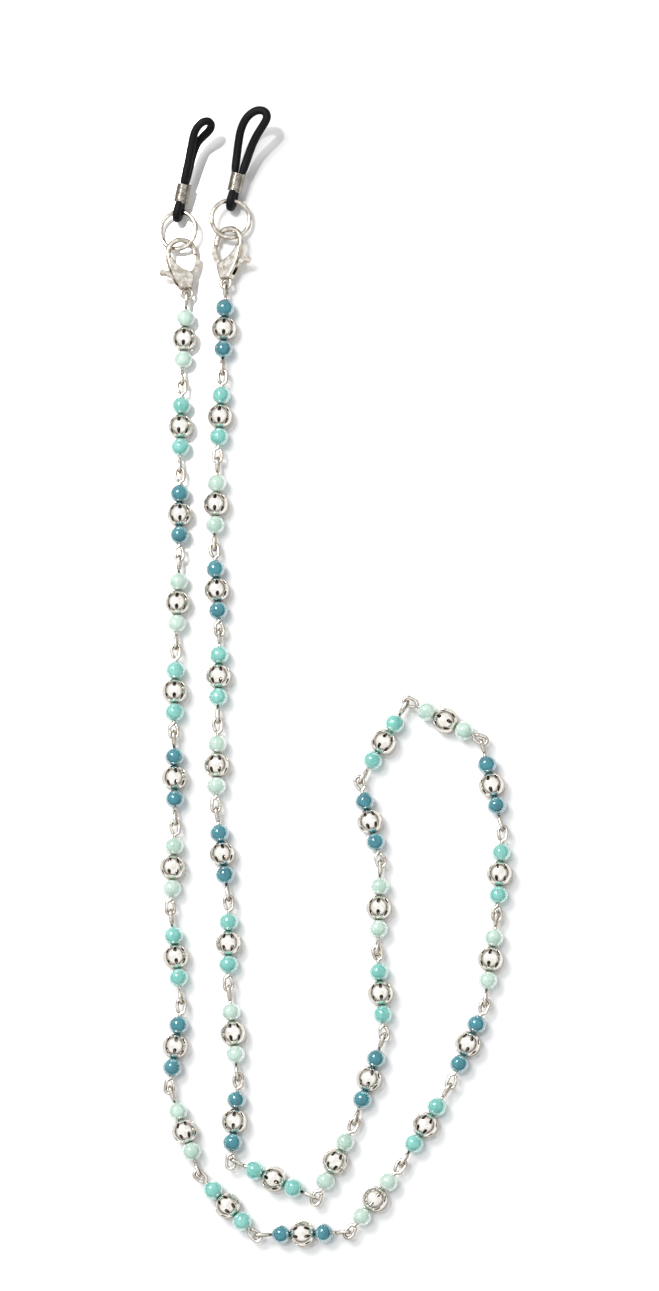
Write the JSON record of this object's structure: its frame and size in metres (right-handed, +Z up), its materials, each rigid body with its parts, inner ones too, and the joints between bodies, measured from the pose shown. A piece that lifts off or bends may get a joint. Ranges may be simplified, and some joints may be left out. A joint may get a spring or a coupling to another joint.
{
  "type": "beaded eyeglass chain",
  "caption": "Beaded eyeglass retainer chain of wired bead links, with a lobster clasp, jump ring and rubber temple loop with a wound sleeve at each end.",
  "frame": {"origin": "middle of the laid-out links, clasps and rings, without the rubber loops and their sleeves, on the surface that it lies on", "axes": "+Z up from the surface, +Y towards the two clasps and temple loops, +X to the right"},
  "size_m": [0.0746, 0.2395, 0.0095],
  "materials": {
    "glass_pale": "glossy translucent pale green glass beads on silver wire, with a silver bead",
    "glass_aqua": "glossy translucent aqua glass beads on silver wire, with a silver bead",
    "glass_teal": "glossy translucent teal glass beads on silver wire, with a silver bead",
    "silver": "bright silver plate, slightly worn",
    "spring_steel": "drawn spring wire",
    "rubber": "matte black rubber cord"
  },
  "bodies": {
    "bead_link_01": {"link_01": "glass_pale"},
    "bead_link_02": {"link_02": "glass_aqua"},
    "bead_link_03": {"link_03": "glass_teal"},
    "bead_link_04": {"link_04": "glass_pale"},
    "bead_link_05": {"link_05": "glass_aqua"},
    "bead_link_06": {"link_06": "glass_teal"},
    "bead_link_07": {"link_07": "glass_pale"},
    "bead_link_08": {"link_08": "glass_aqua"},
    "bead_link_09": {"link_09": "glass_teal"},
    "bead_link_10": {"link_10": "glass_pale"},
    "bead_link_11": {"link_11": "glass_aqua"},
    "bead_link_12": {"link_12": "glass_teal"},
    "bead_link_13": {"link_13": "glass_pale"},
    "bead_link_14": {"link_14": "glass_aqua"},
    "bead_link_15": {"link_15": "glass_teal"},
    "bead_link_16": {"link_16": "glass_pale"},
    "bead_link_17": {"link_17": "glass_aqua"},
    "bead_link_18": {"link_18": "glass_teal"},
    "bead_link_19": {"link_19": "glass_pale"},
    "bead_link_20": {"link_20": "glass_aqua"},
    "bead_link_21": {"link_21": "glass_teal"},
    "bead_link_22": {"link_22": "glass_pale"},
    "bead_link_23": {"link_23": "glass_aqua"},
    "bead_link_24": {"link_24": "glass_teal"},
    "bead_link_25": {"link_25": "glass_pale"},
    "bead_link_26": {"link_26": "glass_aqua"},
    "bead_link_27": {"link_27": "glass_teal"},
    "bead_link_28": {"link_28": "glass_pale"},
    "bead_link_29": {"link_29": "glass_aqua"},
    "bead_link_30": {"link_30": "glass_teal"},
    "bead_link_31": {"link_31": "glass_pale"},
    "bead_link_32": {"link_32": "glass_aqua"},
    "bead_link_33": {"link_33": "glass_teal"},
    "bead_link_34": {"link_34": "glass_pale"},
    "bead_link_35": {"link_35": "glass_aqua"},
    "bead_link_36": {"link_36": "glass_teal"},
    "left_clasp": {"left_clasp_body": "silver", "left_clasp_pin": "silver", "left_clasp_spring": "spring_steel"},
    "left_lever": {"left_clasp_lever": "silver"},
    "left_ring": {"left_jump_ring": "silver"},
    "left_rubber": {"left_rubber_loop": "rubber"},
    "left_sleeve": {"left_coil_sleeve": "silver"},
    "right_clasp": {"right_clasp_body": "silver", "right_clasp_pin": "silver", "right_clasp_spring": "spring_steel"},
    "right_lever": {"right_clasp_lever": "silver"},
    "right_ring": {"right_jump_ring": "silver"},
    "right_rubber": {"right_rubber_loop": "rubber"},
    "right_sleeve": {"right_coil_sleeve": "silver"}
  },
  "joints": [
    {"name": "link_18_to_17", "type": "hinge", "parent": "bead_link_18", "child": "bead_link_17", "pos_m": [0.03513, -0.02472, 0.0026], "axis": [-0.9744, -0.225, 0], "range_deg": [-45, 45]},
    {"name": "link_17_to_16", "type": "hinge", "parent": "bead_link_17", "child": "bead_link_16", "pos_m": [0.03389, -0.04423, 0.0026], "axis": [0.9903, -0.1392, 0], "range_deg": [-45, 45]},
    {"name": "link_16_to_15", "type": "hinge", "parent": "bead_link_16", "child": "bead_link_15", "pos_m": [0.0316, -0.0605, 0.0026], "axis": [0.9903, -0.1392, 0], "range_deg": [-45, 45]},
    {"name": "link_15_to_14", "type": "hinge", "parent": "bead_link_15", "child": "bead_link_14", "pos_m": [0.02389, -0.07843, 0.0026], "axis": [-0.848, 0.5299, 0], "range_deg": [-45, 45]},
    {"name": "link_14_to_13", "type": "hinge", "parent": "bead_link_14", "child": "bead_link_13", "pos_m": [0.01467, -0.09319, 0.0026], "axis": [-0.848, 0.5299, 0], "range_deg": [-45, 45]},
    {"name": "link_13_to_12", "type": "hinge", "parent": "bead_link_13", "child": "bead_link_12", "pos_m": [0.00248, -0.10766, 0.0026], "axis": [0.0175, -0.9998, 0], "range_deg": [-45, 45]},
    {"name": "link_12_to_11", "type": "hinge", "parent": "bead_link_12", "child": "bead_link_11", "pos_m": [-0.01495, -0.10797, 0.0026], "axis": [0.0175, -0.9998, 0], "range_deg": [-45, 45]},
    {"name": "link_11_to_10", "type": "hinge", "parent": "bead_link_11", "child": "bead_link_10", "pos_m": [-0.02799, -0.09442, 0.0026], "axis": [0.9455, 0.3256, 0], "range_deg": [-45, 45]},
    {"name": "link_10_to_09", "type": "hinge", "parent": "bead_link_10", "child": "bead_link_09", "pos_m": [-0.03354, -0.07829, 0.0026], "axis": [0.9455, 0.3256, 0], "range_deg": [-45, 45]},
    {"name": "link_09_to_08", "type": "hinge", "parent": "bead_link_09", "child": "bead_link_08", "pos_m": [-0.03164, -0.05902, 0.0026], "axis": [-0.9925, -0.1219, 0], "range_deg": [-45, 45]},
    {"name": "link_08_to_07", "type": "hinge", "parent": "bead_link_08", "child": "bead_link_07", "pos_m": [-0.03382, -0.04126, 0.0026], "axis": [-0.9925, -0.1219, 0], "range_deg": [-45, 45]},
    {"name": "link_07_to_06", "type": "hinge", "parent": "bead_link_07", "child": "bead_link_06", "pos_m": [-0.033, -0.02169, 0.0026], "axis": [0.9998, 0.0175, 0], "range_deg": [-45, 45]},
    {"name": "link_06_to_05", "type": "hinge", "parent": "bead_link_06", "child": "bead_link_05", "pos_m": [-0.0333, -0.00429, 0.0026], "axis": [0.9998, 0.0175, 0], "range_deg": [-45, 45]},
    {"name": "link_05_to_04", "type": "hinge", "parent": "bead_link_05", "child": "bead_link_04", "pos_m": [-0.03299, 0.01531, 0.0026], "axis": [-0.9994, 0.0349, 0], "range_deg": [-45, 45]},
    {"name": "link_04_to_03", "type": "hinge", "parent": "bead_link_04", "child": "bead_link_03", "pos_m": [-0.03237, 0.0332, 0.0026], "axis": [-0.9994, 0.0349, 0], "range_deg": [-45, 45]},
    {"name": "link_03_to_02", "type": "hinge", "parent": "bead_link_03", "child": "bead_link_02", "pos_m": [-0.03233, 0.0528, 0.0026], "axis": [0.9998, -0.0175, 0], "range_deg": [-45, 45]},
    {"name": "link_02_to_01", "type": "hinge", "parent": "bead_link_02", "child": "bead_link_01", "pos_m": [-0.03197, 0.07154, 0.0026], "axis": [0.9986, -0.0523, 0], "range_deg": [-45, 45]},
    {"name": "link_18_to_19", "type": "hinge", "parent": "bead_link_18", "child": "bead_link_19", "pos_m": [0.03116, -0.00752, 0.0026], "axis": [0.9744, 0.225, 0], "range_deg": [-45, 45]},
    {"name": "link_19_to_20", "type": "hinge", "parent": "bead_link_19", "child": "bead_link_20", "pos_m": [0.01526, 0.00126, 0.0026], "axis": [0.8572, -0.515, 0], "range_deg": [-45, 45]},
    {"name": "link_20_to_21", "type": "hinge", "parent": "bead_link_20", "child": "bead_link_21", "pos_m": [0.00618, -0.01385, 0.0026], "axis": [0.8572, -0.515, 0], "range_deg": [-45, 45]},
    {"name": "link_21_to_22", "type": "hinge", "parent": "bead_link_21", "child": "bead_link_22", "pos_m": [0.00993, -0.03245, 0.0026], "axis": [-0.9994, 0.0349, 0], "range_deg": [-45, 45]},
    {"name": "link_22_to_23", "type": "hinge", "parent": "bead_link_22", "child": "bead_link_23", "pos_m": [0.00936, -0.04889, 0.0026], "axis": [-0.9994, 0.0349, 0], "range_deg": [-45, 45]},
    {"name": "link_23_to_24", "type": "hinge", "parent": "bead_link_23", "child": "bead_link_24", "pos_m": [0.0103, -0.06827, 0.0026], "axis": [0.9455, -0.3256, 0], "range_deg": [-45, 45]},
    {"name": "link_24_to_25", "type": "hinge", "parent": "bead_link_24", "child": "bead_link_25", "pos_m": [0.00478, -0.08432, 0.0026], "axis": [0.9455, -0.3256, 0], "range_deg": [-45, 45]},
    {"name": "link_25_to_26", "type": "hinge", "parent": "bead_link_25", "child": "bead_link_26", "pos_m": [-0.0041, -0.10029, 0.0026], "axis": [0.4226, 0.9063, 0], "range_deg": [-45, 45]},
    {"name": "link_26_to_27", "type": "hinge", "parent": "bead_link_26", "child": "bead_link_27", "pos_m": [-0.02028, -0.09275, 0.0026], "axis": [0.4226, 0.9063, 0], "range_deg": [-45, 45]},
    {"name": "link_27_to_28", "type": "hinge", "parent": "bead_link_27", "child": "bead_link_28", "pos_m": [-0.01981, -0.0747, 0.0026], "axis": [-0.9945, -0.1045, 0], "range_deg": [-45, 45]},
    {"name": "link_28_to_29", "type": "hinge", "parent": "bead_link_28", "child": "bead_link_29", "pos_m": [-0.02163, -0.05738, 0.0026], "axis": [-0.9945, -0.1045, 0], "range_deg": [-45, 45]},
    {"name": "link_29_to_30", "type": "hinge", "parent": "bead_link_29", "child": "bead_link_30", "pos_m": [-0.02183, -0.0378, 0.0026], "axis": [0.9903, 0.1392, 0], "range_deg": [-45, 45]},
    {"name": "link_30_to_31", "type": "hinge", "parent": "bead_link_30", "child": "bead_link_31", "pos_m": [-0.02433, -0.02007, 0.0026], "axis": [0.9903, 0.1392, 0], "range_deg": [-45, 45]},
    {"name": "link_31_to_32", "type": "hinge", "parent": "bead_link_31", "child": "bead_link_32", "pos_m": [-0.02412, -0.00048, 0.0026], "axis": [-0.9998, 0.0175, 0], "range_deg": [-45, 45]},
    {"name": "link_32_to_33", "type": "hinge", "parent": "bead_link_32", "child": "bead_link_33", "pos_m": [-0.02381, 0.01692, 0.0026], "axis": [-0.9998, 0.0175, 0], "range_deg": [-45, 45]},
    {"name": "link_33_to_34", "type": "hinge", "parent": "bead_link_33", "child": "bead_link_34", "pos_m": [-0.02492, 0.03647, 0.0026], "axis": [0.9994, -0.0349, 0], "range_deg": [-45, 45]},
    {"name": "link_34_to_35", "type": "hinge", "parent": "bead_link_34", "child": "bead_link_35", "pos_m": [-0.02431, 0.05386, 0.0026], "axis": [0.9994, -0.0349, 0], "range_deg": [-45, 45]},
    {"name": "link_35_to_36", "type": "hinge", "parent": "bead_link_35", "child": "bead_link_36", "pos_m": [-0.02332, 0.07344, 0.0026], "axis": [-0.9994, 0.0349, 0], "range_deg": [-45, 45]},
    {"name": "left_clasp_swing", "type": "hinge", "parent": "bead_link_01", "child": "left_clasp", "pos_m": [-0.03083, 0.08913, 0.0026], "axis": [-0.9863, 0.0517, 0.1564], "range_deg": [-45, 45]},
    {"name": "left_gate", "type": "hinge", "parent": "left_clasp", "child": "left_lever", "pos_m": [-0.03142, 0.09334, 0.0026], "axis": [0.306, 0.043, 0.9511], "range_deg": [0, 28], "stiffness_Nm_per_rad": 0.005, "springref_deg": -17.19, "deforming": ["left_clasp_spring"]},
    {"name": "left_ring_turn", "type": "hinge", "parent": "left_clasp", "child": "left_ring", "pos_m": [-0.03291, 0.10393, 0.00255], "axis": [-0.2228, -0.0313, 0.9744], "range_deg": [-8, 8]},
    {"name": "left_loop_lift", "type": "hinge", "parent": "left_ring", "child": "left_rubber", "pos_m": [-0.03279, 0.10793, 0.00271], "axis": [0.9703, -0.2419, 0], "range_deg": [-45, 45]},
    {"name": "left_sleeve_slide", "type": "slide", "parent": "left_rubber", "child": "left_sleeve", "axis": [0.2382, 0.9556, 0.1736], "range_m": [0, 0.004], "deforming": ["left_rubber_loop"]},
    {"name": "right_clasp_swing", "type": "hinge", "parent": "bead_link_36", "child": "right_clasp", "pos_m": [-0.02274, 0.09103, 0.0026], "axis": [-0.9871, 0.0345, -0.1564], "range_deg": [-45, 45]},
    {"name": "right_gate", "type": "hinge", "parent": "right_clasp", "child": "right_lever", "pos_m": [-0.02245, 0.09527, 0.0026], "axis": [0.3083, -0.0216, -0.9511], "range_deg": [0, 28], "stiffness_Nm_per_rad": 0.005, "springref_deg": -17.19, "deforming": ["right_clasp_spring"]},
    {"name": "right_ring_turn", "type": "hinge", "parent": "right_clasp", "child": "right_ring", "pos_m": [-0.0217, 0.10594, 0.00255], "axis": [0.2244, -0.0157, 0.9744], "range_deg": [-8, 8]},
    {"name": "right_loop_lift", "type": "hinge", "parent": "right_ring", "child": "right_rubber", "pos_m": [-0.02142, 0.10993, 0.00255], "axis": [0.9659, -0.2588, 0], "range_deg": [-45, 45]},
    {"name": "right_sleeve_slide", "type": "slide", "parent": "right_rubber", "child": "right_sleeve", "axis": [0.2549, 0.9513, 0.1736], "range_m": [0, 0.004], "deforming": ["right_rubber_loop"]}
  ]
}
